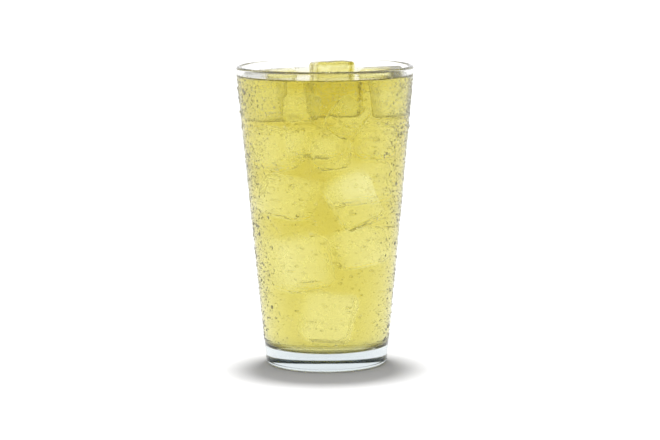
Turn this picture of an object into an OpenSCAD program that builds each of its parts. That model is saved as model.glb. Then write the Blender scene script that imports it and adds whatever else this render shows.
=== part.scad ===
// Tall glass of iced lemonade.
// A pressed pint glass, filled nearly to the rim, with three ice cubes standing out of the drink.
// The origin is at the middle of the foot, on the table. Z points up and the front faces -Y.

/* [Glass] */
// Height of the glass from the table to the top of the rim
glass_h = 149.2; // [120:0.1:180]
// Outside diameter at the rim
rim_d = 88; // [84:0.1:108]
// Outside diameter at the foot, where the wall line meets the table
foot_d = 60.2; // [50:0.1:74]
// Wall thickness at the rim, which is rounded over its whole width
rim_wall = 2.6; // [1.8:0.1:4]
// Wall thickness at the level of the floor inside
floor_wall = 5; // [2:0.1:7]
// Thickness of the solid glass under the drink
base_h = 9; // [5:0.1:14]
// Radius of the rounded heel round the foot
heel_r = 2.5; // [0.5:0.1:4]
// Radius of the inside corner between floor and wall
floor_r = 5; // [1:0.1:9]
// Depth of the shallow dome under the foot
punt_h = 1; // [0.3:0.1:3]
// Width of the flat ring that the glass stands on, inside the heel
ring_w = 2.5; // [1:0.1:5]

/* [Lemonade] */
// Free height between the drink and the top of the rim
free_h = 5.2; // [4.5:0.1:30]
// Clearance between the drink and the glass
fill_gap = 0.02; // [0.01:0.01:0.1]

/* [Ice] */
// Radius of the melted edges of the cubes
ice_edge = 2; // [1:0.1:4]
// How much narrower each side of a cube is at its foot than at its top
ice_draft = 1.2; // [0:0.1:3]
// Clearance between the drink and the ice that it lies round
ice_gap = 0.05; // [0.02:0.01:0.2]
// Smallest gap between the right cube and the wall of the glass
ice_wall_gap = 0.4; // [0.3:0.1:5]

/* [Right ice cube] */
// Width across the view
right_w = 21; // [12:0.1:26]
// Depth along the view
right_d = 19; // [12:0.1:24]
// Height
right_h = 23; // [12:0.1:32]
// How far the middle of its top stands out of the drink
right_rise = 3.9; // [1:0.1:8]
// Turn about the upright axis, in degrees
right_turn = -5; // [-12:1:12]
// Lean, which lifts its right-hand side, in degrees
right_lean = 1.5; // [0:0.5:8]

/* [Middle ice cube] */
// Width across the view
middle_w = 19.5; // [12:0.1:24]
// Depth along the view
middle_d = 19.5; // [12:0.1:24]
// Height
middle_h = 26; // [12:0.1:32]
// How far the middle of its top stands out of the drink
middle_rise = 6.8; // [1:0.1:10]
// Turn about the upright axis, in degrees
middle_turn = 15; // [-20:1:20]
// Tip, which lifts its front edge, in degrees
middle_tip = 4; // [0:0.5:8]
// Distance of its middle behind the axis of the glass
middle_back = 7; // [0:0.1:12]
// Gap between it and the right cube
right_space = 1; // [0.5:0.1:4]

/* [Left ice cube] */
// Width across the view
left_w = 15; // [12:0.1:18]
// Depth along the view
left_d = 17; // [12:0.1:21]
// Height
left_h = 24; // [12:0.1:30]
// How far the middle of its top stands out of the drink
left_rise = 2.8; // [1:0.1:8]
// Turn about the upright axis, in degrees
left_turn = 10; // [-20:1:20]
// Lean, which lifts its right-hand side, in degrees
left_lean = 3; // [0:0.5:8]
// Distance of its middle behind the axis of the glass
left_back = 6; // [0:0.1:12]
// Gap between it and the middle cube
left_space = 5; // [0.5:0.1:6]

/* [Show] */
// Sub-part to draw

/* [Hidden] */
arc_steps = 16;     // straight steps that stand for each rounded stretch of a profile
corner_fn = 24;     // facets round the melted corners of a cube

glass_tint = [0.85, 0.93, 0.95, 0.45];
lemonade_yellow = [0.87, 0.82, 0.36];
ice_white = [0.93, 0.93, 0.82];

rim_r = rim_wall / 2;
rim_z = glass_h - rim_r;
level = glass_h - free_h;

// Outside and inside radius of the straight wall at a height
outer_slope = (rim_d / 2 - foot_d / 2) / rim_z;
function outer_r(z) = foot_d / 2 + z * outer_slope;
inner_slope = (rim_d / 2 - rim_wall - outer_r(base_h) + floor_wall) / (rim_z - base_h);
function inner_r(z) = rim_d / 2 - rim_wall - (rim_z - z) * inner_slope;
outer_lean = atan(outer_slope);
inner_lean = atan(inner_slope);

// The flat ring lies between the heel and the dome under the foot.
heel_x = outer_r(heel_r) - heel_r / cos(outer_lean);
punt_r = heel_x - ring_w;
dome_r = (punt_r * punt_r + punt_h * punt_h) / (2 * punt_h);

// Points along an arc about a centre
function arc(centre, r, from, to) =
    [for (i = [0:arc_steps]) let (a = from + (to - from) * i / arc_steps) centre + r * [cos(a), sin(a)]];

// The inside of the glass from a height down to the floor's middle, drawn in by a clearance
function inside(top, gap) =
    let (
        r = floor_r - gap,
        z = base_h + floor_r,
        corner = [inner_r(z) - floor_r / cos(inner_lean), z],
        wall_shift = gap / cos(inner_lean)
    )
    concat([[inner_r(top) - wall_shift, top]], arc(corner, r, -inner_lean, -90), [[0, base_h + gap]]);

// Half the room that a turned outline takes across the view
function span(w, d, turn) = (w * cos(turn) + d * abs(sin(turn))) / 2;

// Where each cube's middle stands across the view. The outer corners of the right cube's foot
// come to their gap from the wall, and the other cubes follow from it.
foot_inset = 2 * (ice_edge + ice_draft);
foot_across = span(right_w - foot_inset, right_d - foot_inset, right_turn);
foot_along = span(right_d - foot_inset, right_w - foot_inset, right_turn);
foot_z = level + right_rise - right_h + ice_edge;
foot_reach = inner_r(foot_z) - ice_wall_gap - ice_edge;
right_x = sqrt(foot_reach * foot_reach - foot_along * foot_along) - foot_across
    - (right_h - ice_edge) * sin(right_lean);
middle_x = right_x - span(right_w, right_d, right_turn) - right_space - span(middle_w, middle_d, middle_turn);
left_x = middle_x - span(middle_w, middle_d, middle_turn) - left_space - span(left_w, left_d, left_turn);

// One cube with melted edges, its top face centred on the origin, grown all round by a clearance
module ice_cube(w, d, h, grow = 0) {
    hull()
        for (x = [-1, 1], y = [-1, 1], foot = [0, 1]) {
            inset = ice_edge + foot * ice_draft;
            translate([
                x * (w / 2 - inset),
                y * (d / 2 - inset),
                foot == 1 ? ice_edge - h : -ice_edge
            ])
                sphere(r = ice_edge + grow, $fn = corner_fn);
        }
}

module right_cube(grow = 0) {
    translate([right_x, 0, level + right_rise])
        rotate([0, -right_lean, right_turn])
            ice_cube(right_w, right_d, right_h, grow);
}

module middle_cube(grow = 0) {
    translate([middle_x, middle_back, level + middle_rise])
        rotate([0, 0, middle_turn])
            rotate([-middle_tip, 0, 0])
                ice_cube(middle_w, middle_d, middle_h, grow);
}

module left_cube(grow = 0) {
    translate([left_x, left_back, level + left_rise])
        rotate([0, -left_lean, left_turn])
            ice_cube(left_w, left_d, left_h, grow);
}

// Pressed glass: straight leaning wall, full round rim, thick base with a shallow dome below
module glass() {
    dome_top = [0, punt_h - dome_r];
    dome_edge = acos(punt_r / dome_r);
    color(glass_tint)
        rotate_extrude($fn = 128)
            polygon(concat(
                arc(dome_top, dome_r, 90, dome_edge),
                arc([heel_x, heel_r], heel_r, -90, -outer_lean),
                arc([rim_d / 2 - rim_r / cos(outer_lean), rim_z], rim_r, -outer_lean, 180 - inner_lean),
                inside(rim_z, 0)
            ));
}

// The drink fills the glass up to its level and lies round the sunk part of the ice.
module lemonade() {
    color(lemonade_yellow)
        difference() {
            rotate_extrude($fn = 128)
                polygon(concat([[0, level]], inside(level, fill_gap)));
            right_cube(ice_gap);
            middle_cube(ice_gap);
            left_cube(ice_gap);
        }
}

module ice_right() {
    color(ice_white) right_cube();
}

module ice_middle() {
    color(ice_white) middle_cube();
}

module ice_left() {
    color(ice_white) left_cube();
}

glass();
lemonade();
ice_right();
ice_middle();
ice_left();
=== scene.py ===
"""Finished look of a tall glass of iced lemonade.

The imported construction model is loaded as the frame. Each sub-assembly below then builds its
finished meshes round it: the pressed glass, the drink, the ice and the dew on the cold wall.
Sizes are in metres. Z points up, the front faces -Y, and the foot stands on the origin.
"""

import logging
import math
from dataclasses import dataclass, field, replace
from enum import Enum
from typing import Iterable, Optional

import bmesh
import bpy
from mathutils import Euler, Matrix, Vector, noise
from mathutils.bvhtree import BVHTree


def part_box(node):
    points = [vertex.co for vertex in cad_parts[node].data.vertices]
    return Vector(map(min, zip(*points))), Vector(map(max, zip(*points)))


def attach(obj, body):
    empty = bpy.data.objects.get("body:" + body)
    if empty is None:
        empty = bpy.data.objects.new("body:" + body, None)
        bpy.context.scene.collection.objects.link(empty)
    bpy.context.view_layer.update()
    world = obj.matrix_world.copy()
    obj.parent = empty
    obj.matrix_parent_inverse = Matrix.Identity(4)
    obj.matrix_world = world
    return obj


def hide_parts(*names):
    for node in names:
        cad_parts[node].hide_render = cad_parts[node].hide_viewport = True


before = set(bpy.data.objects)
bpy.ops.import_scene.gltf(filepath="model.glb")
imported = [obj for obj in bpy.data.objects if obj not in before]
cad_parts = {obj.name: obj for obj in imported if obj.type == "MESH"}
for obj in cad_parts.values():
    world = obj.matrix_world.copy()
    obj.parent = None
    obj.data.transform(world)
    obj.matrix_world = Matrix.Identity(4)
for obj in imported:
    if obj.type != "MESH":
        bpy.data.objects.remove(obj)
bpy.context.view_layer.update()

LOG = logging.getLogger("lemonade")
BODY = "root"
MM = 0.001
SHARP_EDGE = math.radians(50.0)
ProfilePoint = tuple[float, float]


class Slot(Enum):
    """The record's material slots."""

    GLASS = "glass"
    LEMONADE = "lemonade"
    ICE = "ice"


# ---------------------------------------------------------------- node wiring


class Wiring:
    """Adds nodes to one tree and joins them, with short calls."""

    def __init__(self, tree: bpy.types.NodeTree) -> None:
        """Keeps the tree.

        Args:
            tree: The node tree to work in.
        """
        self.tree = tree

    def add(self, kind: str, **settings: object) -> bpy.types.Node:
        """Adds one node.

        Args:
            kind: Blender's name for the node type.
            **settings: Attributes to set on the new node.

        Returns:
            The new node.
        """
        node = self.tree.nodes.new(kind)
        for name, value in settings.items():
            setattr(node, name, value)
        return node

    def join(self, source: bpy.types.NodeSocket, target: bpy.types.NodeSocket) -> None:
        """Joins an output socket to an input socket."""
        self.tree.links.new(source, target)

    def maths(self, operation: str, first: object, second: object = 0.0) -> bpy.types.NodeSocket:
        """Adds a Math node.

        Args:
            operation: Blender's name for the operation.
            first: A socket or a plain number.
            second: A socket or a plain number.

        Returns:
            The result socket.
        """
        node = self.add("ShaderNodeMath", operation=operation)
        for slot, value in zip(node.inputs, (first, second)):
            if isinstance(value, bpy.types.NodeSocket):
                self.join(value, slot)
            else:
                slot.default_value = value
        return node.outputs[0]

    def remap(
        self, value: bpy.types.NodeSocket, source: tuple[float, float], target: tuple[float, float]
    ) -> bpy.types.NodeSocket:
        """Maps one range of values smoothly on to another and clamps it.

        Args:
            value: The socket to map.
            source: Lowest and highest value taken in.
            target: What those two become.

        Returns:
            The mapped socket.
        """
        node = self.add("ShaderNodeMapRange", interpolation_type="SMOOTHSTEP")
        self.join(value, node.inputs["Value"])
        for name, number in zip(("From Min", "From Max", "To Min", "To Max"), (*source, *target)):
            node.inputs[name].default_value = number
        return node.outputs["Result"]


class CloudyPatches:
    """Shader node group: soft patches made of two scales of noise, shared by every finish."""

    NAME = "cloudy_patches"

    @classmethod
    def tree(cls) -> bpy.types.NodeTree:
        """Builds the group once.

        Returns:
            The group's node tree, with Scale, Fine and Sharp in, and Mask and Height out.
        """
        made = bpy.data.node_groups.get(cls.NAME)
        if made:
            return made
        tree = bpy.data.node_groups.new(cls.NAME, "ShaderNodeTree")
        for name, start in (("Scale", 60.0), ("Fine", 6.0), ("Sharp", 0.3)):
            socket = tree.interface.new_socket(name, in_out="INPUT", socket_type="NodeSocketFloat")
            socket.default_value = start
        for name in ("Mask", "Height"):
            tree.interface.new_socket(name, in_out="OUTPUT", socket_type="NodeSocketFloat")
        wire = Wiring(tree)
        given = wire.add("NodeGroupInput")
        place = wire.add("ShaderNodeTexCoord").outputs["Object"]
        broad = wire.add("ShaderNodeTexNoise")
        broad.inputs["Detail"].default_value = 2.0
        fine = wire.add("ShaderNodeTexNoise")
        fine.inputs["Detail"].default_value = 3.0
        wire.join(place, broad.inputs["Vector"])
        wire.join(place, fine.inputs["Vector"])
        wire.join(given.outputs["Scale"], broad.inputs["Scale"])
        wire.join(
            wire.maths("MULTIPLY", given.outputs["Scale"], given.outputs["Fine"]),
            fine.inputs["Scale"],
        )
        height = wire.maths(
            "ADD",
            wire.maths("MULTIPLY", broad.outputs[0], 0.7),
            wire.maths("MULTIPLY", fine.outputs[0], 0.3),
        )
        edge = wire.add("ShaderNodeMapRange", interpolation_type="SMOOTHSTEP")
        wire.join(height, edge.inputs["Value"])
        wire.join(given.outputs["Sharp"], edge.inputs["From Min"])
        wire.join(wire.maths("SUBTRACT", 1.0, given.outputs["Sharp"]), edge.inputs["From Max"])
        sent = wire.add("NodeGroupOutput")
        wire.join(edge.outputs["Result"], sent.inputs["Mask"])
        wire.join(height, sent.inputs["Height"])
        return tree

    @classmethod
    def place(
        cls, wire: Wiring, scale: float, fine: float = 6.0, sharp: float = 0.3
    ) -> bpy.types.Node:
        """Places the group in a material with that material's own values.

        Args:
            wire: The material's wiring.
            scale: Patches per metre.
            fine: How many times finer the second noise is.
            sharp: 0 for soft patches, towards 0.5 for crisp ones.

        Returns:
            The group node.
        """
        node = wire.add("ShaderNodeGroup", node_tree=cls.tree())
        for name, value in (("Scale", scale), ("Fine", fine), ("Sharp", sharp)):
            node.inputs[name].default_value = value
        return node


# ---------------------------------------------------------------- finishes


@dataclass(frozen=True)
class Finish:
    """A clear, partly cloudy material.

    Attributes:
        name: Name of the material.
        tint: Linear colour that the surface and what passes through it take.
        ior: Refractive index.
        clear: Share of the light that passes straight through.
        smooth: Lowest and highest roughness of the surface.
        patches: Patches per metre in the roughness and the relief.
        relief: Depth of the relief in metres.
        soak: Colour that passes through the substance, or None where it takes nothing away.
        soak_density: How strongly the substance takes away the other colours, per metre.
        mirror: Strength of the surface's reflection, lower where two clear pieces overlap.
    """

    name: str
    tint: tuple[float, float, float]
    ior: float
    clear: float = 1.0
    smooth: tuple[float, float] = (0.0, 0.02)
    patches: float = 60.0
    relief: float = 0.0
    soak: Optional[tuple[float, float, float]] = None
    soak_density: float = 0.0
    mirror: float = 1.0

    def material(self) -> bpy.types.Material:
        """Builds the material once.

        Returns:
            The material.
        """
        made = bpy.data.materials.get(self.name)
        if made:
            return made
        made = bpy.data.materials.new(self.name)
        made.use_nodes = True
        wire = Wiring(made.node_tree)
        shader = made.node_tree.nodes["Principled BSDF"]
        shader.inputs["Base Color"].default_value = (*self.tint, 1.0)
        shader.inputs["IOR"].default_value = self.ior
        shader.inputs["Transmission Weight"].default_value = self.clear
        shader.inputs["Specular Tint"].default_value = (self.mirror, self.mirror, self.mirror, 1.0)
        group = CloudyPatches.place(wire, self.patches)
        wire.join(wire.remap(group.outputs["Mask"], (0.0, 1.0), self.smooth), shader.inputs["Roughness"])
        if self.relief:
            bump = wire.add("ShaderNodeBump")
            bump.inputs["Strength"].default_value = 1.0
            bump.inputs["Distance"].default_value = self.relief
            wire.join(group.outputs["Height"], bump.inputs["Height"])
            wire.join(bump.outputs["Normal"], shader.inputs["Normal"])
        if self.soak:
            soak = wire.add("ShaderNodeVolumeAbsorption")
            soak.inputs["Color"].default_value = (*self.soak, 1.0)
            soak.inputs["Density"].default_value = self.soak_density
            output = made.node_tree.nodes["Material Output"]
            wire.join(soak.outputs["Volume"], output.inputs["Volume"])
        return made


CLEAR_GLASS = Finish(
    "clear_glass",
    tint=(1.0, 1.0, 1.0),
    ior=1.5,
    smooth=(0.0, 0.06),
    patches=45.0,
    relief=0.04 * MM,
    soak=(0.44, 0.55, 0.60),
    soak_density=13.0,
    mirror=0.3,
)
PALE_LEMONADE = Finish(
    "pale_lemonade",
    tint=(0.98, 0.97, 0.86),
    ior=1.34,
    clear=0.99,
    smooth=(0.0, 0.03),
    patches=30.0,
    relief=0.02 * MM,
    soak=(0.825, 0.770, 0.060),
    soak_density=2.0,
    mirror=0.0,
)
# The colour between the ice bends next to no light. The ice then shows as it does in a real drink,
# by its paleness and by the small step between the two indices.
LEMONADE_COLOUR = replace(
    PALE_LEMONADE,
    name="lemonade_colour",
    tint=(1.0, 1.0, 1.0),
    ior=1.001,
    clear=1.0,
    smooth=(0.0, 0.0),
    relief=0.0,
    soak_density=39.0,
)
WET_ICE = Finish(
    "wet_ice",
    tint=(0.97, 0.97, 0.90),
    ior=1.31,
    smooth=(0.02, 0.30),
    patches=160.0,
    relief=0.5 * MM,
    mirror=0.6,
)
SUNK_ICE = replace(WET_ICE, name="sunk_ice", ior=1.022, smooth=(0.0, 0.3), relief=0.25 * MM)
COLD_DEW = Finish(
    "cold_dew",
    tint=(1.0, 1.0, 1.0),
    ior=1.33,
    clear=0.98,
    smooth=(0.0, 0.03),
    patches=900.0,
    mirror=0.5,
)


# ---------------------------------------------------------------- mesh making


class Shapes:
    """Mesh makers that more than one sub-assembly uses."""

    @staticmethod
    def arc(centre: ProfilePoint, radius: float, start: float, end: float, steps: int) -> list[ProfilePoint]:
        """Points along an arc of a profile.

        Args:
            centre: Centre of the arc.
            radius: Radius.
            start: First angle in radians.
            end: Last angle in radians.
            steps: Straight steps along the arc.

        Returns:
            The points, both ends included.
        """
        turns = [start + (end - start) * i / steps for i in range(steps + 1)]
        return [(centre[0] + radius * math.cos(a), centre[1] + radius * math.sin(a)) for a in turns]

    @staticmethod
    def straight(start: ProfilePoint, end: ProfilePoint, steps: int = 12) -> list[ProfilePoint]:
        """Points along a straight stretch, close together at its ends, so that shading stays true.

        Args:
            start: Where the stretch starts, which is left out.
            end: Where it ends, which is left out.
            steps: Even steps between the two close points.

        Returns:
            The points between the ends.
        """
        close = 0.0025
        shares = [close, *(i / steps for i in range(1, steps)), 1.0 - close]
        return [tuple(a + (b - a) * t for a, b in zip(start, end)) for t in shares]

    @staticmethod
    def revolve(profile: list[ProfilePoint], segments: int) -> bmesh.types.BMesh:
        """Turns a profile that starts and ends on the axis into a closed solid.

        Args:
            profile: Radius and height of each ring, with radius 0 at both ends.
            segments: Steps round the axis.

        Returns:
            The solid, with its faces outwards.
        """
        solid = bmesh.new()
        rings = []
        for radius, height in profile:
            if radius < 1e-9:
                rings.append([solid.verts.new((0.0, 0.0, height))])
                continue
            turns = [2 * math.pi * i / segments for i in range(segments)]
            rings.append(
                [solid.verts.new((radius * math.cos(a), radius * math.sin(a), height)) for a in turns]
            )
        for low, high in zip(rings, rings[1:]):
            for i in range(segments):
                j = (i + 1) % segments
                if len(low) == 1:
                    solid.faces.new((low[0], high[i], high[j]))
                elif len(high) == 1:
                    solid.faces.new((low[i], high[0], low[j]))
                else:
                    solid.faces.new((low[i], high[i], high[j], low[j]))
        bmesh.ops.recalc_face_normals(solid, faces=solid.faces)
        return solid

    @staticmethod
    def settle(name: str, solid: bmesh.types.BMesh, finish: Finish) -> bpy.types.Object:
        """Turns a solid into a smooth-shaded object at the origin, and frees the solid.

        Args:
            name: Name of the piece.
            solid: The shape.
            finish: Its material.

        Returns:
            The new object.
        """
        mesh = bpy.data.meshes.new(name)
        solid.to_mesh(mesh)
        solid.free()
        return Shapes.place(name, mesh, finish)

    @staticmethod
    def place(name: str, mesh: bpy.types.Mesh, finish: Finish) -> bpy.types.Object:
        """Links a mesh to the scene as a smooth-shaded object and dresses it.

        Args:
            name: Name of the piece.
            mesh: Its mesh.
            finish: Its material.

        Returns:
            The new object.
        """
        mesh.shade_smooth()
        mesh.set_sharp_from_angle(angle=SHARP_EDGE)
        mesh.materials.clear()
        mesh.materials.append(finish.material())
        piece = bpy.data.objects.new(name, mesh)
        bpy.context.scene.collection.objects.link(piece)
        return piece

    @staticmethod
    def baked(piece: bpy.types.Object) -> bpy.types.Mesh:
        """Gives the mesh that a piece's modifiers make.

        Args:
            piece: An object with live modifiers.

        Returns:
            A new plain mesh.
        """
        graph = bpy.context.evaluated_depsgraph_get()
        return bpy.data.meshes.new_from_object(piece.evaluated_get(graph), depsgraph=graph)

    @staticmethod
    def ready(piece: bpy.types.Object, slot: Slot, replaced: Iterable[str] = ()) -> bpy.types.Object:
        """Hands a finished piece to the frame.

        Args:
            piece: The piece, at the origin.
            slot: The record's material slot. It is not used.
            replaced: The construction nodes that it stands for.

        Returns:
            The same piece.
        """
        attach(piece, BODY)
        if replaced:
            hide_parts(*replaced)
        LOG.info("%s: %d faces", piece.name, len(piece.data.polygons))
        return piece


# ---------------------------------------------------------------- the glass


@dataclass
class PintGlass:
    """The pressed glass: straight leaning wall, full round rim and thick base.

    Attributes:
        height: Height from the table to the top of the rim.
        rim_radius: Outside radius at the rim.
        foot_radius: Outside radius where the wall line meets the table.
        rim_wall: Wall thickness at the rim.
        floor_wall: Wall thickness at the level of the floor inside.
        base: Thickness of the glass under the drink.
        heel: Radius of the rounded heel.
        corner: Radius between floor and wall inside.
        punt: Depth of the dome under the foot.
        ring: Width of the flat ring that the glass stands on.
        segments: Steps round the axis.
        steps: Steps along each arc of the profile.
    """

    height: float
    rim_radius: float
    foot_radius: float = 30.1 * MM
    rim_wall: float = 2.6 * MM
    floor_wall: float = 5.0 * MM
    base: float = 9.0 * MM
    heel: float = 2.5 * MM
    corner: float = 5.0 * MM
    punt: float = 1.0 * MM
    ring: float = 2.5 * MM
    segments: int = 192
    steps: int = 14

    @property
    def rim_z(self) -> float:
        """Height of the middle of the rounded rim."""
        return self.height - self.rim_wall / 2

    def outer(self, z: float) -> float:
        """Outside radius of the straight wall at a height."""
        return self.foot_radius + (self.rim_radius - self.foot_radius) * z / self.rim_z

    @property
    def inner_slope(self) -> float:
        """How much the inside radius grows with height."""
        floor_radius = self.outer(self.base) - self.floor_wall
        return (self.rim_radius - self.rim_wall - floor_radius) / (self.rim_z - self.base)

    def inner(self, z: float) -> float:
        """Inside radius of the straight wall at a height."""
        return self.rim_radius - self.rim_wall - (self.rim_z - z) * self.inner_slope

    def inside(self, top: float, bite: float = 0.0) -> list[ProfilePoint]:
        """Profile of the hollow, from a height down to the middle of the floor.

        Args:
            top: Height that the profile starts at.
            bite: How far it is moved out, into the glass.

        Returns:
            The profile's points.
        """
        lean = math.atan(self.inner_slope)
        z = self.base + self.corner
        centre = (self.inner(z) - self.corner / math.cos(lean), z)
        start = (self.inner(top) + bite / math.cos(lean), top)
        round_corner = Shapes.arc(centre, self.corner + bite, -lean, -math.pi / 2, self.steps)
        middle = (0.0, self.base - bite)
        wall = Shapes.straight(start, round_corner[0])
        floor = Shapes.straight(round_corner[-1], middle, 4)
        return [start, *wall, *round_corner, *floor, middle]

    def build(self) -> bpy.types.Object:
        """Builds and dresses the glass.

        Returns:
            The piece.
        """
        lean = math.atan((self.rim_radius - self.foot_radius) / self.rim_z)
        heel_x = self.outer(self.heel) - self.heel / math.cos(lean)
        punt_r = heel_x - self.ring
        dome = (punt_r**2 + self.punt**2) / (2 * self.punt)
        dome_arc = Shapes.arc(
            (0.0, self.punt - dome), dome, math.pi / 2, math.acos(punt_r / dome), self.steps
        )
        rim_r = self.rim_wall / 2
        inner_lean = math.atan(self.inner_slope)
        rim_x = self.rim_radius - rim_r / math.cos(lean)
        heel_arc = Shapes.arc((heel_x, self.heel), self.heel, -math.pi / 2, -lean, self.steps)
        rim_arc = Shapes.arc((rim_x, self.rim_z), rim_r, -lean, math.pi - inner_lean, 2 * self.steps)
        profile = [
            (0.0, self.punt),
            *dome_arc[1:],
            *Shapes.straight(dome_arc[-1], heel_arc[0], 2),
            *heel_arc,
            *Shapes.straight(heel_arc[-1], rim_arc[0]),
            *rim_arc,
            *self.inside(self.rim_z)[1:],
        ]
        solid = Shapes.revolve(profile, self.segments)
        piece = Shapes.settle("glass_wall", solid, CLEAR_GLASS)
        return Shapes.ready(piece, Slot.GLASS, ["glass"])


# ---------------------------------------------------------------- the ice


@dataclass
class IceCube:
    """One cube that has begun to melt.

    Attributes:
        name: Name of the piece.
        size: Width, depth and height.
        centre: Place of its middle.
        turn: Euler angles in degrees.
        seed: Which of the melted surfaces it has.
        edge: Radius of its melted edges.
        draft: How much narrower each side is at its foot.
        melt: How far melting has moved its surface.
        swell: Broad waves per metre of its surface.
        ripple: Fine waves per metre.
        ripple_share: Depth of the fine waves as a share of the broad ones.
        cuts: Cuts along each edge.
    """

    name: str
    size: tuple[float, float, float]
    centre: tuple[float, float, float]
    turn: tuple[float, float, float] = (0.0, 0.0, 0.0)
    seed: int = 0
    edge: float = 3.2 * MM
    draft: float = 1.2 * MM
    melt: float = 0.9 * MM
    swell: float = 90.0
    ripple: float = 420.0
    ripple_share: float = 0.25
    cuts: int = 22

    def solid(self, shrink: float = 0.0) -> bmesh.types.BMesh:
        """Builds the cube's shape in its place.

        Args:
            shrink: How far the whole surface is moved in.

        Returns:
            The shape.
        """
        cube = bmesh.new()
        bmesh.ops.create_cube(cube, size=2.0)
        bmesh.ops.subdivide_edges(cube, edges=cube.edges, cuts=self.cuts, use_grid_fill=True)
        half = [s / 2 for s in self.size]
        turned = Euler([math.radians(a) for a in self.turn]).to_matrix()
        offset = Vector((self.seed * 3.7, self.seed * 1.3, self.seed * 5.1))
        for vert in cube.verts:
            foot = (1.0 - vert.co.z) / 2 * self.draft
            limits = (half[0] - foot, half[1] - foot, half[2])
            point = Vector(c * h for c, h in zip(vert.co, limits))
            kept = Vector(
                max(-(h - self.edge), min(h - self.edge, c)) for c, h in zip(point, limits)
            )
            out = (point - kept).normalized()
            wave = noise.noise(out * 0.9 + kept * self.swell + offset) * self.melt
            wave += noise.noise(point * self.ripple + offset) * self.melt * self.ripple_share
            vert.co = turned @ (kept + out * (self.edge + wave - shrink)) + Vector(self.centre)
        bmesh.ops.recalc_face_normals(cube, faces=cube.faces)
        return cube

    def build(self) -> bpy.types.Object:
        """Builds and dresses the cube."""
        return Shapes.ready(Shapes.settle(self.name, self.solid(), SUNK_ICE), Slot.ICE)


@dataclass
class StandingCube:
    """A cube that stands out of the drink and follows its construction node.

    Attributes:
        node: The construction node.
        grain: Edge of the squares that its surface is made of.
        melt: How far melting has moved its surface.
        swell: Broad waves per metre of its surface.
        ripple: Fine waves per metre.
        ripple_share: Depth of the fine waves as a share of the broad ones.
    """

    node: str
    grain: float = 0.6 * MM
    melt: float = 0.45 * MM
    swell: float = 130.0
    ripple: float = 420.0
    ripple_share: float = 0.3

    def solid(self, shrink: float = 0.0) -> bmesh.types.BMesh:
        """Builds the melted shape from a copy of the construction node.

        Args:
            shrink: How far the whole surface is moved in.

        Returns:
            The shape.
        """
        copy = bmesh.new()
        copy.from_mesh(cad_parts[self.node].data)
        bmesh.ops.remove_doubles(copy, verts=copy.verts, dist=1e-6)
        mesh = bpy.data.meshes.new("melting")
        copy.to_mesh(mesh)
        copy.free()
        lump = bpy.data.objects.new("melting", mesh)
        bpy.context.scene.collection.objects.link(lump)
        remesh = lump.modifiers.new("grid", "REMESH")
        remesh.mode = "VOXEL"
        remesh.voxel_size = self.grain
        smooth = lump.modifiers.new("smooth", "SMOOTH")
        smooth.factor = 0.5
        smooth.iterations = 6
        melted = Shapes.baked(lump)
        bpy.data.objects.remove(lump)
        solid = bmesh.new()
        solid.from_mesh(melted)
        bpy.data.meshes.remove(melted)
        bpy.data.meshes.remove(mesh)
        solid.normal_update()
        offset = Vector((len(self.node) * 2.3, 0.7, 4.1))
        moves = []
        for vert in solid.verts:
            wave = noise.noise(vert.co * self.swell + offset) * self.melt
            wave += noise.noise(vert.co * self.ripple + offset) * self.melt * self.ripple_share
            moves.append(vert.normal * (wave - shrink))
        for vert, move in zip(solid.verts, moves):
            vert.co += move
        return solid

    def build(self) -> bpy.types.Object:
        """Builds and dresses the cube, which replaces its construction node."""
        piece = Shapes.settle(self.node + "_cube", self.solid(), WET_ICE)
        return Shapes.ready(piece, Slot.ICE, [self.node])


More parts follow.
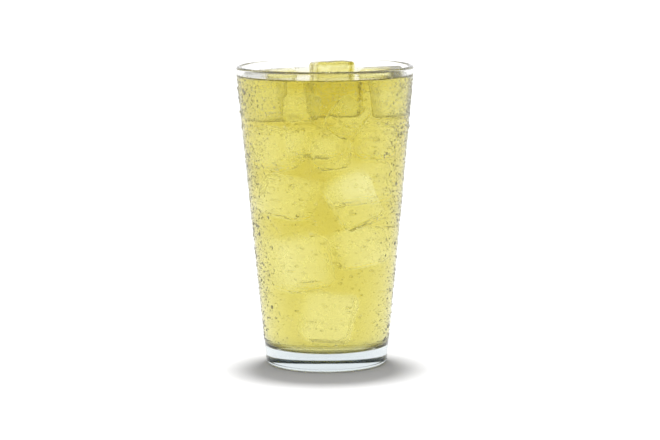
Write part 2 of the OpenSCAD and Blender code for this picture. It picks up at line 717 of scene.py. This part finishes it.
@dataclass
class Ice:
    """All the ice: three cubes that stand out of the drink and the ones sunk under them.

    Attributes:
        glass: The glass that they lie in.
        level: Height of the drink.
    """

    glass: PintGlass
    level: float
    standing: list[StandingCube] = field(init=False)
    sunk: list[IceCube] = field(init=False)

    def __post_init__(self) -> None:
        """Lays out the cubes in the glass."""
        self.standing = [StandingCube(n) for n in ("ice_right", "ice_middle", "ice_left")]
        spots = (
            # across, along and up as shares of the room; width, depth, height; turns; seed
            ((-0.28, -0.64, 0.905), (18, 12, 13), (8, -4, 24), 1),
            ((0.24, -0.64, 0.865), (16, 12, 18), (6, 38, -12), 2),
            ((-0.52, -0.10, 0.745), (19, 19, 19), (-10, 12, 20), 3),
            ((0.31, 0.36, 0.615), (19, 19, 20), (14, -8, 32), 4),
            ((0.34, -0.34, 0.555), (20, 18, 25), (10, -24, 12), 5),
            ((-0.38, 0.28, 0.56), (19, 19, 20), (-6, 14, -24), 6),
            ((0.36, 0.20, 0.372), (19, 19, 18), (-8, -12, 34), 7),
            ((-0.33, -0.06, 0.325), (22, 21, 26), (8, -14, 20), 8),
            ((0.02, -0.14, 0.120), (20, 20, 24), (4, 8, 14), 9),
            ((-0.10, 0.42, 0.765), (18, 17, 15), (10, 6, -18), 10),
            ((0.52, 0.02, 0.77), (16, 17, 17), (-12, 8, 26), 11),
            ((-0.30, 0.66, 0.905), (18, 11, 14), (4, 6, 26), 12),
            ((0.32, 0.66, 0.88), (18, 11, 18), (-5, -4, -24), 13),
            ((0.07, -0.50, 0.735), (17, 14, 15), (8, -6, 14), 14),
        )
        self.sunk = [
            IceCube(
                f"ice_sunk_{number}",
                tuple(s * MM for s in size),
                self.spot(*shares),
                turns,
                seed,
            )
            for number, (shares, size, turns, seed) in enumerate(spots, start=1)
        ]

    def spot(self, across: float, along: float, up: float) -> tuple[float, float, float]:
        """Turns shares of the room inside the glass into a place.

        Args:
            across: Share of the inside radius to the right.
            along: Share of the inside radius to the back.
            up: Share of the depth of the drink above the floor.

        Returns:
            The place.
        """
        z = self.glass.base + (self.level - self.glass.base) * up
        reach = self.glass.inner(z)
        return (across * reach, along * reach, z)

    def build(self) -> list[bpy.types.Object]:
        """Builds and dresses every cube.

        Returns:
            The pieces.
        """
        return [cube.build() for cube in (*self.standing, *self.sunk)]


# ---------------------------------------------------------------- the drink


@dataclass
class Lemonade:
    """The drink, which fills the glass and lies round the ice.

    Attributes:
        glass: The glass that it fills.
        ice: The ice in it.
        level: Height of its flat surface.
        bite: How far it reaches into the wall and into the ice, so that no air shows between.
        inset: How far the colour between the ice lies inside the drink's own surface.
        pocket: Width of the colourless film between that colour and each sunk cube.
        climb: How far it climbs the wall and the ice.
        ice_climb: Climb at the ice as a share of the climb at the wall.
        reach: Distance over which that climb dies away.
        segments: Steps round the axis.
        rings: Rings across the surface.
        crowding: How strongly those rings gather towards the wall, where the surface climbs.
        weld: Corners closer than this are joined once the ice is cut out.
    """

    glass: PintGlass
    ice: Ice
    level: float
    bite: float = 0.2 * MM
    inset: float = 0.08 * MM
    pocket: float = 1.0 * MM
    climb: float = 1.1 * MM
    ice_climb: float = 0.8
    reach: float = 1.5 * MM
    segments: int = 256
    rings: int = 84
    crowding: float = 1.4
    weld: float = 0.002 * MM

    def surface_rise(self, point: Vector, trees: list[BVHTree], wall: float) -> float:
        """How far the surface stands above the level at a point.

        Args:
            point: The point, at the level.
            trees: Search trees of the cubes that stand out of the drink.
            wall: Distance from the point to the wall.

        Returns:
            The rise.
        """
        rise = self.climb * math.exp(-max(wall, 0.0) / self.reach)
        for tree in trees:
            near, normal, _, distance = tree.find_nearest(point)
            if near is not None:
                gap = distance if (point - near).dot(normal) > 0 else 0.0
                rise = max(rise, self.ice_climb * self.climb * math.exp(-gap / self.reach))
        return rise

    def filled(self, trees: list[BVHTree]) -> bmesh.types.BMesh:
        """Builds the drink before the ice is taken out of it.

        Args:
            trees: Search trees of the cubes that stand out of the drink.

        Returns:
            The shape.
        """
        top = self.level + self.climb
        hollow = self.glass.inside(top, self.bite)
        radius = hollow[0][0]
        shares = [1.0 - (i / self.rings) ** self.crowding for i in range(1, self.rings)]
        across = [(radius * share, self.level) for share in shares]
        profile = [*reversed(hollow), *across, (0.0, self.level)]
        solid = Shapes.revolve(profile, self.segments)
        for vert in solid.verts:
            if vert.co.z > self.level - self.bite:
                flat = Vector((vert.co.x, vert.co.y, self.level))
                wall = radius - self.bite - flat.xy.length
                vert.co.z = self.level + self.surface_rise(flat, trees, wall)
        return solid

    def round_standing_ice(self) -> bmesh.types.BMesh:
        """Builds the drink's whole shape, with the standing cubes cut out of it.

        Returns:
            The shape.
        """
        trees = []
        for cube in self.ice.standing:
            whole = cube.solid()
            trees.append(BVHTree.FromBMesh(whole))
            whole.free()
        drink = Shapes.settle("filled", self.filled(trees), PALE_LEMONADE)
        for cube in self.ice.standing:
            tool = Shapes.settle("cutter", cube.solid(self.bite), WET_ICE)
            cut = drink.modifiers.new("cut", "BOOLEAN")
            cut.operation = "DIFFERENCE"
            cut.solver = "EXACT"
            cut.object = tool
            mesh = Shapes.baked(drink)
            drink.modifiers.clear()
            old, drink.data = drink.data, mesh
            bpy.data.meshes.remove(old)
            bpy.data.objects.remove(tool)
        solid = bmesh.new()
        solid.from_mesh(drink.data)
        bpy.data.objects.remove(drink)
        # The cut lists its corners and faces in an order that changes from run to run, and the
        # weld goes by that order.
        orders = (
            (solid.verts, lambda vert: vert.co[:]),
            (solid.faces, lambda face: face.calc_center_median()[:]),
        )
        for parts, place in orders:
            ranks = {part: rank for rank, part in enumerate(sorted(parts, key=place))}
            parts.sort(key=ranks.get)
        bmesh.ops.remove_doubles(solid, verts=solid.verts, dist=self.weld)
        bmesh.ops.dissolve_degenerate(solid, edges=solid.edges, dist=self.weld / 2)
        bmesh.ops.holes_fill(solid, edges=solid.edges)
        for face in solid.faces:
            face.material_index = 0
        return solid

    def hollowed(self, solid: bmesh.types.BMesh) -> None:
        """Draws the drink's shape in a little and hollows it out round the sunk cubes.

        Args:
            solid: The shape, which is changed in place.
        """
        solid.normal_update()
        for vert, normal in [(v, v.normal.copy()) for v in solid.verts]:
            vert.co -= normal * self.inset
        for cube in self.ice.sunk:
            hollow = cube.solid(-self.pocket)
            bmesh.ops.reverse_faces(hollow, faces=hollow.faces)
            mesh = bpy.data.meshes.new("hollow")
            hollow.to_mesh(mesh)
            hollow.free()
            solid.from_mesh(mesh)
            bpy.data.meshes.remove(mesh)

    def build(self) -> list[bpy.types.Object]:
        """Builds and dresses the drink.

        Returns:
            The drink and, inside it, the colour between the sunk ice.
        """
        whole = self.round_standing_ice()
        between = whole.copy()
        piece = Shapes.settle("lemonade_fill", whole, PALE_LEMONADE)
        self.hollowed(between)
        colour = Shapes.settle("lemonade_between_ice", between, LEMONADE_COLOUR)
        return [
            Shapes.ready(piece, Slot.LEMONADE, ["lemonade"]),
            Shapes.ready(colour, Slot.LEMONADE),
        ]


# ---------------------------------------------------------------- the dew


@dataclass(frozen=True)
class DewKind:
    """One kind of drop that stands on the cold wall.

    Attributes:
        name: Name of the piece.
        per_square_metre: Drops per square metre where they are thickest.
        small: Radius of the smallest drops.
        large: Radius of the largest drops.
        crowd: How strongly small drops outnumber large ones.
        sides: Sides of a drop's rings.
        rings: Shares of the radius where its rings lie.
        bulge: Height of a drop as a share of its radius.
        seed: Seed of the scatter.
        sunk: How far its foot lies under the wall's surface, as a share of its radius.
        foot: Width of its foot as a share of its radius.
    """

    name: str
    per_square_metre: float
    small: float
    large: float
    crowd: float
    sides: int
    rings: tuple[float, ...]
    bulge: float
    seed: int
    sunk: float = 0.12
    foot: float = 1.04

    def bead(self) -> bpy.types.Object:
        """Builds one drop of radius 1, its foot just under the wall's surface.

        Returns:
            An object that the scatter copies.
        """
        sphere = (1 + self.bulge**2) / (2 * self.bulge)
        profile = [(0.0, -self.sunk), (self.foot, -self.sunk)]
        for share in self.rings:
            profile.append((share, math.sqrt(sphere**2 - share**2) - (sphere - self.bulge)))
        profile.append((0.0, self.bulge))
        return Shapes.settle("bead", Shapes.revolve(profile, self.sides), COLD_DEW)


@dataclass
class Dew:
    """Drops of dew on the outside of the glass, scattered by Geometry Nodes.

    Attributes:
        glass: The glass that they stand on.
        low: Height of the lowest drops.
        high: Height of the highest drops.
        middle_share: Share of the drops that stand in the middle, against those at the sides.
        foot_share: Share of the drops that stand low down, against those at the top.
        bare_share: Share of the drops that stand between the loose patches.
        patches: Patches per metre.
        kinds: The kinds of drop.
    """

    glass: PintGlass
    low: float
    high: float
    middle_share: float = 0.35
    foot_share: float = 0.45
    bare_share: float = 0.35
    patches: float = 55.0
    kinds: tuple[DewKind, ...] = (
        DewKind("dew_mist", 690e3, 0.14 * MM, 0.30 * MM, 1.5, 6, (0.66,), 0.8, 3),
        DewKind("dew_drops", 350e3, 0.28 * MM, 0.62 * MM, 2.2, 8, (0.86, 0.5), 0.75, 11),
        DewKind("dew_beads", 22e3, 0.6 * MM, 1.15 * MM, 2.5, 12, (0.92, 0.7, 0.38), 0.7, 29),
    )

    def wall(self) -> bpy.types.Object:
        """Builds the bare outside wall that the drops are scattered on.

        Returns:
            A temporary object.
        """
        sheet = bmesh.new()
        steps, turns = 24, 96
        angles = [2 * math.pi * k / turns for k in range(turns)]
        rows = []
        for i in range(steps + 1):
            z = self.low + (self.high - self.low) * i / steps
            r = self.glass.outer(z)
            rows.append([sheet.verts.new((r * math.cos(a), r * math.sin(a), z)) for a in angles])
        for low, high in zip(rows, rows[1:]):
            for k in range(turns):
                j = (k + 1) % turns
                sheet.faces.new((low[k], low[j], high[j], high[k]))
        return Shapes.settle("wall", sheet, COLD_DEW)

    def scatter(self) -> bpy.types.NodeTree:
        """Builds the tree that scatters one kind of drop.

        Returns:
            The tree, with named inputs for its sizes.
        """
        tree = bpy.data.node_groups.new("dew_scatter", "GeometryNodeTree")
        face = tree.interface
        face.new_socket("Geometry", in_out="INPUT", socket_type="NodeSocketGeometry")
        face.new_socket("Bead", in_out="INPUT", socket_type="NodeSocketObject")
        for name in ("Thickest", "Small", "Large", "Crowd"):
            face.new_socket(name, in_out="INPUT", socket_type="NodeSocketFloat")
        face.new_socket("Seed", in_out="INPUT", socket_type="NodeSocketInt")
        face.new_socket("Finish", in_out="INPUT", socket_type="NodeSocketMaterial")
        face.new_socket("Geometry", in_out="OUTPUT", socket_type="NodeSocketGeometry")
        wire = Wiring(tree)
        given = wire.add("NodeGroupInput")
        place = wire.add("GeometryNodeInputPosition").outputs[0]
        parts = wire.add("ShaderNodeSeparateXYZ")
        wire.join(place, parts.inputs[0])
        # Drops gather towards the two sides and towards the top, in loose patches.
        side = wire.maths(
            "DIVIDE", wire.maths("ABSOLUTE", parts.outputs["X"]), self.glass.rim_radius
        )
        sides = wire.remap(side, (0.25, 0.85), (self.middle_share, 1.0))
        up = wire.remap(parts.outputs["Z"], (self.low, self.high), (self.foot_share, 1.0))
        cloud = wire.add("ShaderNodeTexNoise")
        cloud.inputs["Scale"].default_value = self.patches
        cloud.inputs["Detail"].default_value = 2.0
        wire.join(place, cloud.inputs["Vector"])
        patch = wire.remap(cloud.outputs[0], (0.35, 0.62), (self.bare_share, 1.0))
        share = wire.maths("MULTIPLY", wire.maths("MULTIPLY", sides, up), patch)
        spread = wire.add("GeometryNodeDistributePointsOnFaces", distribute_method="RANDOM")
        wire.join(given.outputs["Geometry"], spread.inputs["Mesh"])
        wire.join(wire.maths("MULTIPLY", share, given.outputs["Thickest"]), spread.inputs["Density"])
        wire.join(given.outputs["Seed"], spread.inputs["Seed"])
        chance = wire.add("FunctionNodeRandomValue", data_type="FLOAT")
        wire.join(given.outputs["Seed"], chance.inputs["Seed"])
        skewed = wire.maths("POWER", chance.outputs["Value"], given.outputs["Crowd"])
        grow = wire.maths("SUBTRACT", given.outputs["Large"], given.outputs["Small"])
        radius = wire.maths("ADD", given.outputs["Small"], wire.maths("MULTIPLY", skewed, grow))
        stretch = wire.add("FunctionNodeRandomValue", data_type="FLOAT_VECTOR")
        stretch.inputs["Min"].default_value = (0.82, 0.82, 0.75)
        stretch.inputs["Max"].default_value = (1.12, 1.12, 1.05)
        size = wire.add("ShaderNodeVectorMath", operation="SCALE")
        wire.join(stretch.outputs["Value"], size.inputs[0])
        wire.join(radius, size.inputs["Scale"])
        bead = wire.add("GeometryNodeObjectInfo")
        wire.join(given.outputs["Bead"], bead.inputs["Object"])
        stand = wire.add("GeometryNodeInstanceOnPoints")
        wire.join(spread.outputs["Points"], stand.inputs["Points"])
        wire.join(spread.outputs["Rotation"], stand.inputs["Rotation"])
        wire.join(bead.outputs["Geometry"], stand.inputs["Instance"])
        wire.join(size.outputs[0], stand.inputs["Scale"])
        real = wire.add("GeometryNodeRealizeInstances")
        wire.join(stand.outputs["Instances"], real.inputs["Geometry"])
        dress = wire.add("GeometryNodeSetMaterial")
        wire.join(real.outputs["Geometry"], dress.inputs["Geometry"])
        wire.join(given.outputs["Finish"], dress.inputs["Material"])
        sent = wire.add("NodeGroupOutput")
        wire.join(dress.outputs["Geometry"], sent.inputs["Geometry"])
        return tree

    def build(self) -> list[bpy.types.Object]:
        """Builds and dresses every kind of drop.

        Returns:
            The pieces, one for each kind.
        """
        tree = self.scatter()
        names = {
            item.name: item.identifier
            for item in tree.interface.items_tree
            if item.in_out == "INPUT"
        }
        pieces = []
        for kind in self.kinds:
            wall, bead = self.wall(), kind.bead()
            spread = wall.modifiers.new("scatter", "NODES")
            spread.node_group = tree
            values = {
                "Bead": bead,
                "Thickest": kind.per_square_metre,
                "Small": kind.small,
                "Large": kind.large,
                "Crowd": kind.crowd,
                "Seed": kind.seed,
                "Finish": COLD_DEW.material(),
            }
            for name, value in values.items():
                spread[names[name]] = value
            mesh = Shapes.baked(wall)
            wall.modifiers.clear()
            for spare in (wall, bead):
                bpy.data.objects.remove(spare)
            mesh.name = kind.name
            piece = Shapes.place(kind.name, mesh, COLD_DEW)
            pieces.append(Shapes.ready(piece, Slot.GLASS))
        return pieces


# ---------------------------------------------------------------- the studio


@dataclass
class Studio:
    """Pale floor, soft light and camera.

    Attributes:
        glass: The glass that is shown.
        distance: Camera's distance from the middle of the glass.
        elevation: Camera's height above the horizon, in degrees.
        roll: Camera's roll, in degrees.
        lens: Focal length in millimetres.
        shift: Camera's shift.
        floor_size: Width of the floor.
        floor_grey: Brightness of the floor's paint.
        sun_strength: Strength of the soft sun.
        sun_angle: Width of the soft sun, in degrees.
        sun_height: Height of the soft sun behind the glass, in degrees.
        room: Brightness of the room as it is seen in and through the glass.
        ring: Brightness of the duller ring half-way up the room, which draws the glass's edges.
        ring_foot: Share of the room's height over which the ring begins.
        ring_top: Share over which it ends.
        fill: Brightness of the room as it lights dull surfaces.
        clear_bounces: Clear surfaces that a ray may pass, as many lie behind one another here.
    """

    glass: PintGlass
    distance: float = 1.328
    elevation: float = 7.645
    roll: float = 0.37
    lens: float = 145.2
    shift: tuple[float, float] = (0.00636, -0.00815)
    floor_size: float = 60.0
    floor_grey: float = 0.92
    sun_strength: float = 2.6
    sun_angle: float = 9.0
    sun_height: float = 82.0
    room: float = 1.2
    ring: float = 0.62
    ring_foot: tuple[float, float] = (0.25, 0.40)
    ring_top: tuple[float, float] = (0.80, 0.95)
    fill: float = 0.5
    clear_bounces: int = 40

    def floor(self) -> None:
        """Lays the pale floor."""
        mesh = bpy.data.meshes.new("floor")
        half = self.floor_size / 2
        corners = [(-half, -half, 0), (half, -half, 0), (half, half, 0), (-half, half, 0)]
        mesh.from_pydata(corners, [], [(0, 1, 2, 3)])
        paint = bpy.data.materials.new("pale_floor")
        paint.use_nodes = True
        shader = paint.node_tree.nodes["Principled BSDF"]
        shader.inputs["Base Color"].default_value = (*(self.floor_grey,) * 3, 1.0)
        shader.inputs["Roughness"].default_value = 1.0
        shader.inputs["Specular IOR Level"].default_value = 0.0
        mesh.materials.append(paint)
        plane = bpy.data.objects.new("floor", mesh)
        bpy.context.scene.collection.objects.link(plane)

    def light(self) -> None:
        """Hangs the soft sun and the pale surroundings."""
        lamp = bpy.data.lights.new("soft_sun", "SUN")
        lamp.energy = self.sun_strength
        lamp.angle = math.radians(self.sun_angle)
        sun = bpy.data.objects.new("soft_sun", lamp)
        sun.rotation_euler = (-math.radians(90.0 - self.sun_height), 0.0, 0.0)
        sun.visible_transmission = False
        bpy.context.scene.collection.objects.link(sun)
        world = bpy.data.worlds.new("pale_room")
        world.use_nodes = True
        wire = Wiring(world.node_tree)
        back = world.node_tree.nodes["Background"]
        back.inputs["Color"].default_value = (1.0, 1.0, 1.0, 1.0)
        parts = wire.add("ShaderNodeSeparateXYZ")
        wire.join(wire.add("ShaderNodeTexCoord").outputs["Generated"], parts.inputs[0])
        low = wire.remap(parts.outputs["Z"], self.ring_foot, (0.0, 1.0))
        high = wire.remap(parts.outputs["Z"], self.ring_top, (1.0, 0.0))
        band = wire.maths("MULTIPLY", low, high)
        seen = wire.remap(band, (0.0, 1.0), (self.room, self.ring))
        path = wire.add("ShaderNodeLightPath")
        choice = wire.add("ShaderNodeMix", data_type="FLOAT")
        wire.join(path.outputs["Is Diffuse Ray"], choice.inputs[0])
        wire.join(seen, choice.inputs[2])
        choice.inputs[3].default_value = self.fill
        wire.join(choice.outputs[0], back.inputs["Strength"])
        bpy.context.scene.world = world

    def camera(self) -> None:
        """Sets up the camera."""
        lens = bpy.data.cameras.new("camera")
        lens.lens = self.lens
        lens.sensor_width = 36.0
        lens.shift_x, lens.shift_y = self.shift
        lens.clip_start, lens.clip_end = 0.05, 200.0
        eye = bpy.data.objects.new("camera", lens)
        rise = math.radians(self.elevation)
        back = Vector((0.0, -math.cos(rise), math.sin(rise)))
        aim = Vector((0.0, 0.0, self.glass.height / 2))
        spin = (-back).to_track_quat("-Z", "Y").to_matrix().to_4x4()
        tilt = Matrix.Rotation(-math.radians(self.roll), 4, "Z")
        eye.matrix_world = Matrix.Translation(aim + back * self.distance) @ spin @ tilt
        bpy.context.scene.collection.objects.link(eye)
        bpy.context.scene.camera = eye

    def build(self) -> None:
        """Sets up the whole studio."""
        self.floor()
        self.light()
        self.camera()
        scene = bpy.context.scene
        scene.view_settings.view_transform = "Standard"
        scene.view_settings.look = "None"
        scene.cycles.max_bounces = self.clear_bounces
        scene.cycles.transmission_bounces = self.clear_bounces
        scene.cycles.glossy_bounces = 10
        scene.cycles.diffuse_bounces = 4
        scene.cycles.sample_clamp_indirect = 4.0


def main() -> None:
    """Builds every sub-assembly in order."""
    logging.basicConfig(level=logging.INFO, format="%(name)s: %(message)s")
    low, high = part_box("glass")
    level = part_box("lemonade")[1].z
    glass = PintGlass(height=high.z - low.z, rim_radius=(high.x - low.x) / 2)
    ice = Ice(glass, level)
    glass.build()
    Lemonade(glass, ice, level).build()
    ice.build()
    Dew(glass, low=12 * MM, high=high.z - 4 * MM).build()
    Studio(glass).build()


if __name__ == "__main__":
    main()
